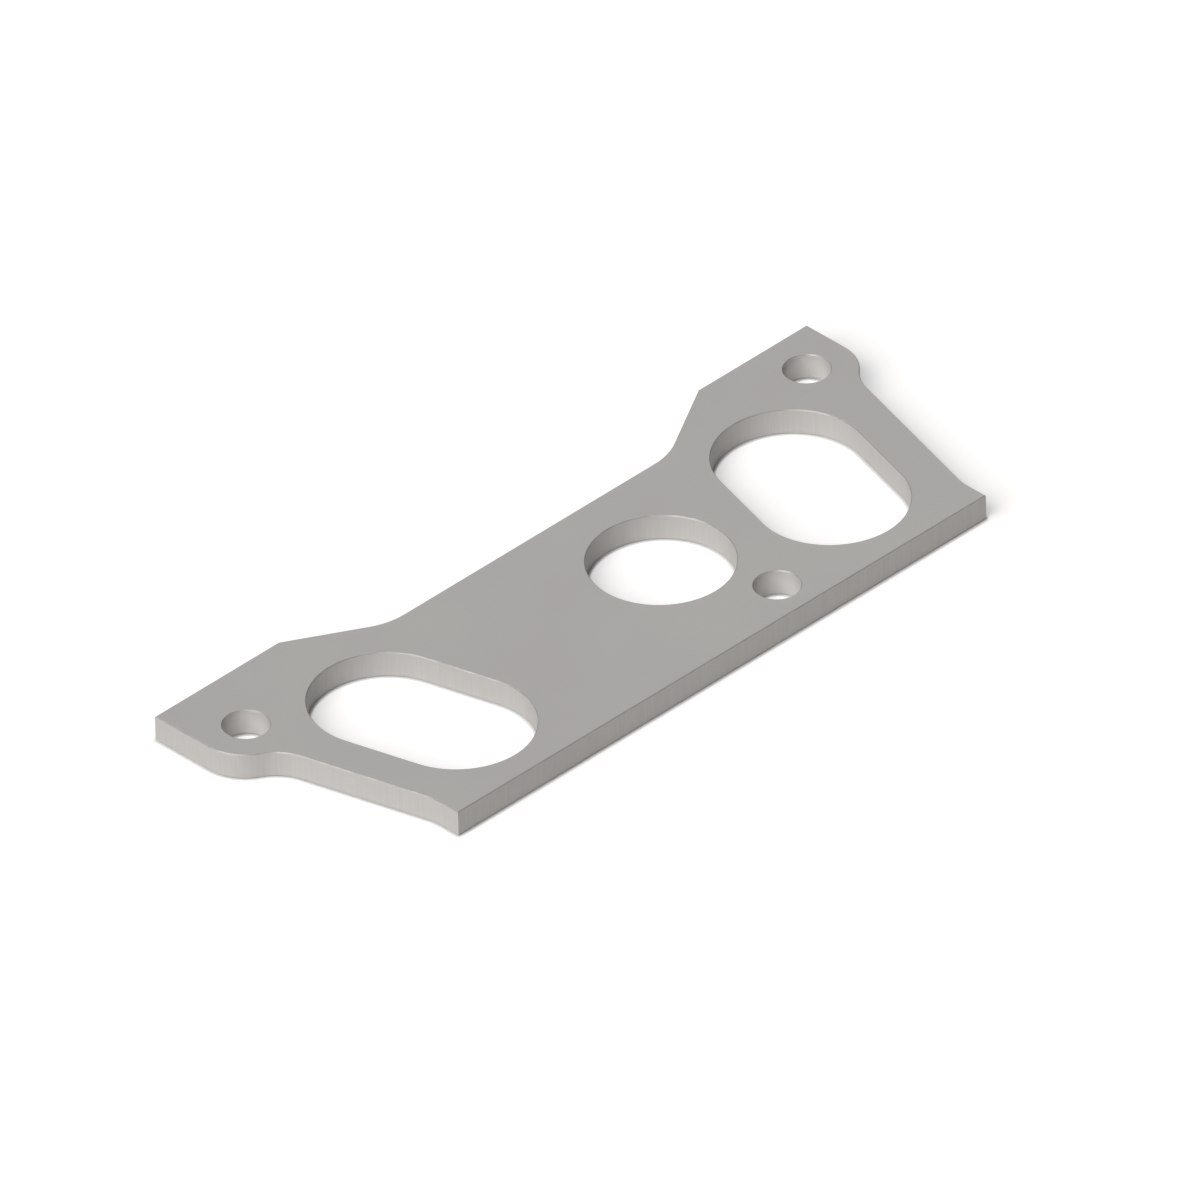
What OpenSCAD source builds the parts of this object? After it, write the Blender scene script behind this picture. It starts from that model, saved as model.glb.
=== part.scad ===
// Adapter plate: one flat plate with two bolt ears, two slanted slots, a round opening and three bolt holes.
// The outline is drawn with its zero at the front left corner, X along the front edge and Y towards the ears.
// The finished plate is then moved so that the middle of its underside box is at the origin.

/* [Plate] */
// Thickness of the plate stock
plate_t = 6.35; // [3:0.05:12]
// Length of the straight front edge, corner to corner
front_l = 162; // [156:0.5:200]
// Distance from the front edge to the top edge of the ears
ear_top = 73.2; // [73.2:0.1:85]
// Distance from the front edge to the back edge between the ears
back_y = 60.8; // [56:0.1:67]
// Width of the small bevel that breaks every rim, top and bottom
edge_break = 0.2; // [0.1:0.05:0.8]

/* [Ends] */
// Height of the square stretch at each front corner
end_h = 7.4; // [4:0.1:12]
// Lean of both flanks out of square, in degrees
lean = 15; // [12:0.5:18]
// Radius of the blend between a square stretch and its flank
foot_r = 11.5; // [4:0.5:25]
// Radius of the blend between a flank and its ear
neck_r = 11.5; // [6:0.5:18]
// Radius of each ear round its bolt hole
ear_r = 11.5; // [9:0.1:11.6]
// Reach of the left ear past the front left corner
left_reach = 19.9; // [17:0.1:24]
// Reach of the right ear past the front right corner
right_reach = 18.1; // [17:0.1:24]

/* [Recess between the ears] */
// Inner corner of the left ear, measured in from the front left corner
left_ear_in = 18; // [10:0.5:24]
// Inner corner of the right ear, measured in from the front right corner
right_ear_in = 15; // [10:0.5:24]
// Angle of the slopes that run down from the ears to the back edge
slope = 30; // [22:1:50]
// Radius of the blend between a slope and the back edge
recess_r = 16.6; // [5:0.1:30]

/* [Bolt holes] */
// Diameter of the three bolt holes
bolt_d = 10.5; // [6:0.1:12]
// Distance of the left ear's bolt hole from the front edge
left_bolt_y = 56.7; // [53:0.1:61]
// Distance of the right ear's bolt hole from the front edge
right_bolt_y = 61.6; // [55:0.1:61.7]
// Distance of the front bolt hole to the right of the plate's middle line
front_bolt_off = 26.4; // [24:0.1:30]
// Distance of the front bolt hole from the front edge
front_bolt_y = 9.4; // [8:0.1:10.5]

/* [Openings] */
// Diameter of the round opening
round_d = 33.1; // [20:0.1:38]
// Distance of the round opening to the right of the plate's middle line
round_off = 15.6; // [6:0.1:19]
// Distance of the round opening's centre from the front edge
round_y = 34.3; // [32:0.1:38]
// Width of each slot
slot_w = 34.6; // [20:0.1:38]
// Distance between the two end centres of a slot
slot_run = 18.2; // [6:0.1:22]
// Wall left between a slot and its flank
slot_wall = 9.8; // [5:0.1:13]
// Web left between a slot and the front edge
slot_web = 6.35; // [3:0.05:9]

/* [Hidden] */
$fn = 96;
// how far a cutter reaches past the faces that it cuts
past = 1;
// how deep a round edge bites into what it touches, so that the two meet in one clean corner
bite = 0.001;
// how many degrees a hollow bevel cutter runs on past its ends, where it meets only air
run_on = 3;
bolt_r = bolt_d / 2;
round_r = round_d / 2;
slot_r = slot_w / 2;
// centres of the two openings that are placed from the plate's middle line
middle_x = front_l / 2;
front_bolt = [middle_x + front_bolt_off, front_bolt_y];
round_centre = [middle_x + round_off, round_y];
// unit steps up a left flank, and square to it, away from the plate
up_flank = [-sin(lean), cos(lean)];
off_flank = [-cos(lean), -sin(lean)];
// a left flank would start at this corner if no blend rounded it
flank_foot = [0, end_h];
// length that a foot blend takes from each line it joins
foot_run = foot_r * tan(lean / 2);
// length that a recess blend takes from each line it joins
recess_run = recess_r * tan(slope / 2);
// the ends of a slot, worked out from its wall and its web
slot_low_y = slot_web + slot_r;
slot_low = [(slot_wall + slot_r - (slot_low_y - end_h) * sin(lean)) / cos(lean), slot_low_y];
slot_high = slot_low + slot_run * up_flank;

// Both ends have one shape, drawn here as the left one.
// An end is given by its ear's reach, its bolt hole's height and its inner corner: [reach, bolt_y, ear_in].
left_end = [left_reach, left_bolt_y, left_ear_in];
right_end = [right_reach, right_bolt_y, right_ear_in];

function reach(end) = end[0];
function bolt_y(end) = end[1];
function ear_in(end) = end[2];

// The ear is round about its bolt hole and just touches the line of the ear's outer edge.
function ear_centre(end) = [ear_r - reach(end), bolt_y(end)];
function ear_side(end) = [-reach(end), bolt_y(end)];
function outer_corner(end) = [-reach(end), ear_top];
function inner_corner(end) = [ear_in(end), ear_top];
// The neck blend touches the flank and the ear from outside.
function neck_centre(end) =
    let (from_foot = ear_centre(end) - flank_foot,
         gap = neck_r - from_foot * off_flank,
         drop = sqrt(pow(ear_r + neck_r, 2) - pow(gap, 2)))
    flank_foot + (from_foot * up_flank - drop) * up_flank + neck_r * off_flank;
function neck_on_flank(end) = neck_centre(end) - neck_r * off_flank;
// The foot blend touches the square stretch and the flank.
foot_centre = [-foot_r, end_h - foot_run];
foot_on_end = [0, end_h - foot_run];
foot_on_flank = flank_foot + foot_run * up_flank;
// The recess blend touches the slope and the back edge.
function slope_foot(end) = [ear_in(end) + (ear_top - back_y) / tan(slope), back_y];
function recess_centre(end) = slope_foot(end) + [recess_run, recess_r];
function recess_on_back(end) = slope_foot(end) + [recess_run, 0];
function recess_on_slope(end) = slope_foot(end) + recess_run * [-cos(slope), sin(slope)];
function direction(from, to) = atan2(to.y - from.y, to.x - from.x);

// Left-hand shape with no arcs, from the front corner round to the back edge. At each blend it runs in to the
// blend's centre and back out, and at the ear to the bolt hole, so that every circle is met square on.
function end_points(end) = [
    [0, 0],
    foot_on_end,
    foot_centre,
    foot_on_flank,
    neck_on_flank(end),
    neck_centre(end),
    ear_centre(end),
    ear_side(end),
    outer_corner(end),
    inner_corner(end),
    recess_on_slope(end),
    recess_centre(end),
    recess_on_back(end)
];
function to_the_right(point) = [front_l - point.x, point.y];
function reversed(points) = [for (i = [len(points) - 1:-1:0]) points[i]];

module on_the_right() {
    translate([front_l, 0, 0]) mirror([1, 0, 0]) children();
}

module on_both_faces() {
    children();
    translate([0, 0, plate_t]) mirror([0, 0, 1]) children();
}

module round_at(centre, r) {
    translate(centre) circle(r + bite);
}

// Circles that hollow out the three blends of an end
module end_blends(end) {
    round_at(foot_centre, foot_r);
    round_at(neck_centre(end), neck_r);
    round_at(recess_centre(end), recess_r);
}

module outline() {
    difference() {
        union() {
            polygon(concat(
                [for (point = end_points(right_end)) to_the_right(point)],
                reversed(end_points(left_end))
            ));
            round_at(ear_centre(left_end), ear_r);
            round_at(to_the_right(ear_centre(right_end)), ear_r);
        }
        end_blends(left_end);
        on_the_right() end_blends(right_end);
    }
}

// A slot is two round ends and the straight stretch between them.
module slot() {
    side = slot_r * off_flank;
    round_at(slot_low, slot_r);
    round_at(slot_high, slot_r);
    polygon([slot_low - side, slot_high - side, slot_high + side, slot_low + side]);
}

module bolt_holes() {
    translate(ear_centre(left_end)) circle(bolt_r);
    on_the_right() translate(ear_centre(right_end)) circle(bolt_r);
    translate(front_bolt) circle(bolt_r);
}

module plate_blank() {
    linear_extrude(plate_t) difference() {
        outline();
        bolt_holes();
        translate(round_centre) circle(round_r);
        slot();
        on_the_right() slot();
    }
}

// Bevel cutter for the top rim of a straight edge, walked from one point to another, the plate on its right.
// It runs on past an end where the edge meets a sharp corner.
module rim_line(from, to, sharp_start = false, sharp_end = false) {
    start = sharp_start ? past : 0;
    finish = sharp_end ? past : 0;
    translate(from) rotate(direction(from, to)) translate([-start, 0, plate_t]) rotate([90, 0, 90])
        linear_extrude(norm(to - from) + start + finish) bevel_section();
}

// Section of a bevel cutter, its zero on the sharp rim and its X away from the plate
module bevel_section() {
    polygon([[-edge_break - past, past], [past, -edge_break - past], [past, past]]);
}

// Bevel cutter for the top rim of an ear, where the plate lies inside the circle
module rim_ear(centre, r, from_angle, to_angle) {
    translate([centre.x, centre.y, plate_t]) rotate(from_angle) rotate_extrude(angle = to_angle - from_angle)
        translate([r + bite, 0]) bevel_section();
}

// Bevel cutter for the top rim of a hollow, where the plate lies outside the circle
module rim_hollow(centre, r, from_angle, to_angle) {
    translate([centre.x, centre.y, plate_t]) rotate(from_angle - run_on)
        rotate_extrude(angle = min(to_angle - from_angle + 2 * run_on, 360))
            translate([r + bite, 0]) mirror([1, 0]) bevel_section();
}

// Bevel cutters round an end of the plate, on the top face
module end_rim(end) {
    ear = ear_centre(end);
    neck = neck_centre(end);
    rim_line([0, 0], foot_on_end, sharp_start = true);
    rim_hollow(foot_centre, foot_r, 0, lean);
    rim_line(foot_on_flank, neck_on_flank(end));
    rim_hollow(neck, neck_r, lean, direction(neck, ear));
    rim_ear(ear, ear_r, 180, 360 + direction(ear, neck));
    rim_line(ear_side(end), outer_corner(end), sharp_start = true, sharp_end = true);
    rim_line(outer_corner(end), inner_corner(end), sharp_start = true, sharp_end = true);
    rim_line(inner_corner(end), recess_on_slope(end), sharp_start = true);
    rim_hollow(recess_centre(end), recess_r, 270 - slope, 270);
}

module slot_rim() {
    side = slot_r * off_flank;
    rim_line(slot_low - side, slot_high - side);
    rim_hollow(slot_high, slot_r, lean, lean + 180);
    rim_line(slot_high + side, slot_low + side);
    rim_hollow(slot_low, slot_r, lean + 180, lean + 360);
}

module hole_rim(centre, r) {
    rim_hollow(centre, r - bite, 0, 360);
}

module top_rims() {
    end_rim(left_end);
    on_the_right() end_rim(right_end);
    rim_line([front_l, 0], [0, 0], sharp_start = true, sharp_end = true);
    rim_line(recess_on_back(left_end), to_the_right(recess_on_back(right_end)));
    slot_rim();
    on_the_right() slot_rim();
    hole_rim(ear_centre(left_end), bolt_r);
    on_the_right() hole_rim(ear_centre(right_end), bolt_r);
    hole_rim(front_bolt, bolt_r);
    hole_rim(round_centre, round_r);
}

module adapter_plate() {
    box_middle = [(front_l + right_reach - left_reach) / 2, ear_top / 2, 0];
    color("#a8a7a5") translate(-box_middle) difference() {
        plate_blank();
        on_both_faces() top_rims();
    }
}

adapter_plate();
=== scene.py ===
import math

import bpy
import numpy as np
from mathutils import Matrix, Vector

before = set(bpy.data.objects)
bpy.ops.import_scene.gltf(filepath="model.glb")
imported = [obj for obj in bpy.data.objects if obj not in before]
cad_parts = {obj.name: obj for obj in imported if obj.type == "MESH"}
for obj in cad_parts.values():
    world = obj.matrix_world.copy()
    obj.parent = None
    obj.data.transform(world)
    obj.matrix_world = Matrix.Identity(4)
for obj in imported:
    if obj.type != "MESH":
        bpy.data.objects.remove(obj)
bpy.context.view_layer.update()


# The camera. The picture is a parallel projection that looks down on the plate from its front left corner,
# with a slight roll. Its angles and scale were measured from the plate's own straight edges.
picture_px = 1200
px_per_m = 4606.0
azimuth = math.radians(44.043)
elevation = math.radians(35.683)
roll = math.radians(1.566)
origin_px = Vector((600.5, 611.75))
camera_distance = 1.0

back = Vector((
    -math.sin(azimuth) * math.cos(elevation),
    -math.cos(azimuth) * math.cos(elevation),
    math.sin(elevation),
))
level_right = Vector((math.cos(azimuth), -math.sin(azimuth), 0))
level_up = back.cross(level_right)
right = math.cos(roll) * level_right - math.sin(roll) * level_up
up = math.sin(roll) * level_right + math.cos(roll) * level_up

# The camera aims at the middle of the picture, and the frame's origin shows a little below and right of it.
middle_px = picture_px / 2
aim = ((middle_px - origin_px.x) * right + (origin_px.y - middle_px) * up) / px_per_m

camera_data = bpy.data.cameras.new("camera")
camera_data.type = "ORTHO"
camera_data.ortho_scale = picture_px / px_per_m
camera = bpy.data.objects.new("camera", camera_data)
turned = Matrix((right, up, back)).transposed().to_4x4()
camera.matrix_world = Matrix.Translation(aim + camera_distance * back) @ turned
bpy.context.scene.collection.objects.link(camera)
bpy.context.scene.camera = camera
bpy.context.scene.view_settings.view_transform = "Standard"


# The studio. One wide soft lamp stands on the left and a white room fills in, so that the walls that face
# left come out lighter than the top, and the long front wall darker. The camera and the plate's reflections
# see the room white, and the rest of its light is low: a little from above, and more from below the floor for
# whoever looks at the plate's underside.
room_level = 0.08
room_level_below = 0.5
lamp_level = 1.2
lamp_round = math.radians(186)
lamp_height = math.radians(42)
lamp_spread = math.radians(50)
lamp_tint = "#fffdfb"
white = (1.0, 1.0, 1.0, 1.0)


def colour(code):
    """The linear colour of an sRGB hex value."""
    parts = np.array([int(code[i:i + 2], 16) for i in (1, 3, 5)]) / 255
    linear = np.where(parts <= 0.04045, parts / 12.92, ((parts + 0.055) / 1.055) ** 2.4)
    return (*linear.tolist(), 1.0)


def add(tree, kind, settings=None, **inputs):
    """Add one node to a tree. Settings go on the node itself, and each input is a value or an output to link.

    An input is named as its socket is, with _ for a space, or at_0, at_1 and so on by its place."""
    node = tree.nodes.new("ShaderNode" + kind)
    for name, value in (settings or {}).items():
        setattr(node, name, value)
    for name, value in inputs.items():
        socket = node.inputs[int(name[3:]) if name.startswith("at_") else name.replace("_", " ")]
        if isinstance(value, bpy.types.NodeSocket):
            tree.links.new(value, socket)
        else:
            socket.default_value = value
    return node


def seen(tree):
    """The output that is 1 for what the camera, a reflection or clear glass sees, and 0 for other light."""
    path = add(tree, "LightPath")
    bounced = add(tree, "Math", {"operation": "MAXIMUM"},
                  at_0=path.outputs["Is Glossy Ray"], at_1=path.outputs["Is Transmission Ray"])
    either = add(tree, "Math", {"operation": "MAXIMUM"},
                 at_0=path.outputs["Is Camera Ray"], at_1=bounced.outputs[0])
    return either.outputs[0]


# The lamp alone would light a white card that faces it to its level.
lamp_data = bpy.data.lights.new("left_lamp", "SUN")
lamp_data.energy = lamp_level * math.pi
lamp_data.color = colour(lamp_tint)[:3]
lamp_data.angle = lamp_spread
lamp = bpy.data.objects.new("left_lamp", lamp_data)
towards_lamp = Vector((
    math.cos(lamp_round) * math.cos(lamp_height),
    math.sin(lamp_round) * math.cos(lamp_height),
    math.sin(lamp_height),
))
lamp.rotation_euler = towards_lamp.to_track_quat("Z", "Y").to_euler()
bpy.context.scene.collection.objects.link(lamp)

world = bpy.data.worlds.new("white_room")
world.use_nodes = True
bpy.context.scene.world = world
tree = world.node_tree
tree.nodes.clear()
heading = add(tree, "TexCoord")
height = add(tree, "SeparateXYZ", Vector=heading.outputs["Generated"])
below = add(tree, "Math", {"operation": "LESS_THAN"}, at_0=height.outputs["Z"], at_1=0)
level = add(tree, "MapRange", Value=below.outputs[0], To_Min=room_level, To_Max=room_level_below)
fill = add(tree, "MapRange", Value=seen(tree), To_Min=level.outputs[0], To_Max=1.0)
room = add(tree, "Background", Color=white, Strength=fill.outputs[0])
add(tree, "OutputWorld", Surface=room.outputs[0])


# The floor. A wide sheet of matt white card lies under the plate and takes its soft shadow. A little light of
# its own, which only the camera and reflections see, lifts the card to the white of the room behind it.
# The card is clear from below, and for light that leaves the plate's underside right above it, so that the
# underside can be looked at too.
card_half = 3.0
card_gap = 0.00005
# how far from a surface light still finds the card clear, and how far from the plate's foot the painted
# contact shadow darkens the card
clear_reach = 0.0002
contact_shade_reach = 0.0010
card_colour = "#cecece"
card_lift = 0.50
contact_samples = 4
contact_shade_depth = 6

card_mesh = bpy.data.meshes.new("floor_card")
card_corners = [
    (-card_half, -card_half, -card_gap),
    (card_half, -card_half, -card_gap),
    (card_half, card_half, -card_gap),
    (-card_half, card_half, -card_gap),
]
card_mesh.from_pydata(card_corners, [], [(0, 1, 2, 3)])
floor = bpy.data.objects.new("floor_card", card_mesh)
bpy.context.scene.collection.objects.link(floor)

card = bpy.data.materials.new("matt_white_card")
card.use_nodes = True
tree = card.node_tree
tree.nodes.clear()
# painted contact shadow: the card's own light fades out beside the plate's foot, so the card is drawn darkest
# there
contact = add(tree, "AmbientOcclusion", {"samples": contact_samples}, Distance=contact_shade_reach)
openness = add(tree, "Math", {"operation": "POWER"}, at_0=contact.outputs["AO"], at_1=contact_shade_depth)
lift = add(tree, "Math", {"operation": "MULTIPLY"}, at_0=openness.outputs[0], at_1=card_lift)
own_light = add(tree, "Math", {"operation": "MULTIPLY"}, at_0=seen(tree), at_1=lift.outputs[0])
paper = add(tree, "BsdfDiffuse", Color=colour(card_colour))
glow = add(tree, "Emission", Strength=own_light.outputs[0])
lit_card = add(tree, "AddShader", at_0=paper.outputs[0], at_1=glow.outputs[0])
clear = add(tree, "BsdfTransparent")
side = add(tree, "NewGeometry")
path = add(tree, "LightPath")
close_by = add(tree, "Math", {"operation": "LESS_THAN"}, at_0=path.outputs["Ray Length"], at_1=clear_reach)
is_clear = add(tree, "Math", {"operation": "MAXIMUM"},
               at_0=side.outputs["Backfacing"], at_1=close_by.outputs[0])
one_sided = add(tree, "MixShader", Fac=is_clear.outputs[0], at_1=lit_card.outputs[0], at_2=clear.outputs[0])
add(tree, "OutputMaterial", Surface=one_sided.outputs[0])
card_mesh.materials.append(card)


# The plate. One piece of quarter-inch mild steel plate, cut to shape through its full thickness, its openings
# with it, then blasted to an even grey with every sharp edge broken. It lies flat on its underside.
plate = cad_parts["adapter_plate"]

# Tones of the blasted faces, the cut walls, the bolt holes and the broken edges; the bolt holes' walls are
# painted lighter and the edges painted darker, as painted light and painted shade
face_grey = "#adabaa"
face_cloud_grey = "#afaeac"
cut_grey = "#b7b5b3"
cut_line_grey = "#b4b2b0"
# painted light: the bolt holes' walls are drawn lighter to make up for the shade inside the small holes
bore_painted_light_grey = "#c6c4c2"
# painted shade: the edges' greys are drawn darker to dim the highlight on the bevels
edge_painted_shade_grey = "#8b8988"
edge_worn_painted_shade_grey = "#989695"

# Sizes of the patterns and depths of the reliefs, in millimetres
mm = 0.001
cloud_mm = 40.0
grain_mm = 0.45
grain_depth_mm = 0.02
cut_line_mm = 0.45
cut_line_depth_mm = 0.006
nick_mm = 3.0
# a cut line is this many times longer than it is wide
cut_line_stretch = 33

# Roughness of each kind of place where its pattern is at its low and at its high
face_rough_low, face_rough_high = 0.46, 0.56
cut_rough_low, cut_rough_high = 0.50, 0.46
edge_rough_low, edge_rough_high = 0.50, 0.44
# how much of the surface is bare metal, and how little the rest of it shines at a glancing angle
bare_metal = 0.35
glancing_shine = 0.2
glancing_grey = "#aaaaaa"

# How upright a surface must face for a face's look to start and to be full, and the same for a cut wall
face_starts, face_full = 0.80, 0.97
cut_starts, cut_full = 0.60, 0.20
# The middle part of a noise that runs a tone from one end to the other, and the part that runs a roughness
tone_low, tone_high = 0.35, 0.65
rough_low, rough_high = 0.3, 0.7
broad_detail, fine_detail = 3.0, 2.0

# The axes of the three bolt holes, and the reach from an axis that takes in the whole wall round it
bore_axes_mm = ((-88.5, 20.1), (88.5, 25.0), (27.3, -27.2))
bore_reach_mm = 5.6

# Blasted mild steel: small beads have peened the faces to fine round dimples, so the plate looks an even
# satin grey with a faint grain. Its thin grey oxide scatters most of the light, so it is only part bare
# metal, and the dimples break up the shine that a smooth plate has at a glancing angle.
# Real dimples and cutting lines are a tenth of a millimetre or less apart; they are drawn coarser, to show.
steel = bpy.data.materials.new("blasted_mild_steel")
steel.use_nodes = True
tree = steel.node_tree
tree.nodes.clear()
place = add(tree, "TexCoord")
facing = add(tree, "SeparateXYZ", Vector=place.outputs["Normal"])
upright = add(tree, "Math", {"operation": "ABSOLUTE"}, at_0=facing.outputs["Z"])
on_face = add(tree, "MapRange", Value=upright.outputs[0], From_Min=face_starts, From_Max=face_full)
on_cut = add(tree, "MapRange", Value=upright.outputs[0], From_Min=cut_starts, From_Max=cut_full)

# The faces: broad faint clouds from the blasting gun's passes, and the dimples' grain.
clouds = add(tree, "TexNoise", Vector=place.outputs["Object"],
             Scale=1 / (cloud_mm * mm), Detail=broad_detail)
grain = add(tree, "TexNoise", Vector=place.outputs["Object"],
            Scale=1 / (grain_mm * mm), Detail=fine_detail)
cloud_tone = add(tree, "MapRange", Value=clouds.outputs["Fac"], From_Min=tone_low, From_Max=tone_high)
face_tone = add(tree, "MixRGB", Fac=cloud_tone.outputs[0],
                Color1=colour(face_grey), Color2=colour(face_cloud_grey))

# The cut walls: lines run straight through the thickness, so their noise is stretched out along Z.
stretch = add(tree, "Mapping", Vector=place.outputs["Object"], Scale=(1.0, 1.0, 1 / cut_line_stretch))
cut_lines = add(tree, "TexNoise", Vector=stretch.outputs[0],
                Scale=1 / (cut_line_mm * mm), Detail=broad_detail)
line_tone = add(tree, "MapRange", Value=cut_lines.outputs["Fac"], From_Min=tone_low, From_Max=tone_high)
cut_tone = add(tree, "MixRGB", Fac=line_tone.outputs[0],
               Color1=colour(cut_line_grey), Color2=colour(cut_grey))

# The three bolt holes: their walls are painted a lighter grey than the cut ones, painted light that makes up
# for the shade inside the small holes. A place belongs to a bolt hole where it is near enough to that hole's
# axis.
in_plan = add(tree, "VectorMath", {"operation": "MULTIPLY"}, at_0=place.outputs["Object"], at_1=(1, 1, 0))
in_bore = 0
for x_mm, y_mm in bore_axes_mm:
    from_axis = add(tree, "VectorMath", {"operation": "DISTANCE"},
                    at_0=in_plan.outputs[0], at_1=(x_mm * mm, y_mm * mm, 0))
    near = add(tree, "Math", {"operation": "LESS_THAN"},
               at_0=from_axis.outputs["Value"], at_1=bore_reach_mm * mm)
    in_bore = add(tree, "Math", {"operation": "MAXIMUM"}, at_0=in_bore, at_1=near.outputs[0]).outputs[0]
wall_tone = add(tree, "MixRGB", Fac=in_bore, Color1=cut_tone.outputs[0], Color2=colour(bore_painted_light_grey))

# The broken edges: painted a darker grey than the faces, painted shade that dims the highlight their bevels
# catch from the lamp, and here and there worn lighter.
nicks = add(tree, "TexNoise", Vector=place.outputs["Object"],
            Scale=1 / (nick_mm * mm), Detail=fine_detail)
wear = add(tree, "MapRange", Value=nicks.outputs["Fac"], From_Min=rough_low, From_Max=rough_high)
edge_shade_and_wear_tone = add(tree, "MixRGB", Fac=wear.outputs[0], Color1=colour(edge_painted_shade_grey), Color2=colour(edge_worn_painted_shade_grey))

# The tones come together by where a place is: a cut wall or else an edge, and a face over both.
tone_beside = add(tree, "MixRGB", Fac=on_cut.outputs[0],
                  Color1=edge_shade_and_wear_tone.outputs[0], Color2=wall_tone.outputs[0])
tone = add(tree, "MixRGB", Fac=on_face.outputs[0],
           Color1=tone_beside.outputs[0], Color2=face_tone.outputs[0])

# Roughness follows the same places: grainy faces, slightly smoother cuts, and the smoothest on the edges.
face_rough = add(tree, "MapRange", Value=grain.outputs["Fac"],
                 From_Min=rough_low, From_Max=rough_high, To_Min=face_rough_low, To_Max=face_rough_high)
cut_rough = add(tree, "MapRange", Value=cut_lines.outputs["Fac"],
                From_Min=rough_low, From_Max=rough_high, To_Min=cut_rough_low, To_Max=cut_rough_high)
edge_rough = add(tree, "MapRange", Value=nicks.outputs["Fac"],
                 From_Min=rough_low, From_Max=rough_high, To_Min=edge_rough_low, To_Max=edge_rough_high)
rough_beside = add(tree, "Mix", at_0=on_cut.outputs[0], at_2=edge_rough.outputs[0], at_3=cut_rough.outputs[0])
rough = add(tree, "Mix", at_0=on_face.outputs[0], at_2=rough_beside.outputs[0], at_3=face_rough.outputs[0])

# Relief: the dimples on the faces and the lines on the walls, with none on the edges.
dimples = add(tree, "Math", {"operation": "MULTIPLY"}, at_0=grain.outputs["Fac"], at_1=on_face.outputs[0])
dimpled = add(tree, "Bump", Strength=1.0, Distance=grain_depth_mm * mm, Height=dimples.outputs[0])
ridges = add(tree, "Math", {"operation": "MULTIPLY"}, at_0=cut_lines.outputs["Fac"], at_1=on_cut.outputs[0])
relief = add(tree, "Bump", Strength=1.0, Distance=cut_line_depth_mm * mm, Height=ridges.outputs[0],
             Normal=dimpled.outputs[0])

surface = add(tree, "BsdfPrincipled", Base_Color=tone.outputs[0], Metallic=bare_metal,
              Roughness=rough.outputs[0], Normal=relief.outputs[0],
              Specular_IOR_Level=glancing_shine, Specular_Tint=colour(glancing_grey))
add(tree, "OutputMaterial", Surface=surface.outputs[0])
plate.data.materials[0] = steel
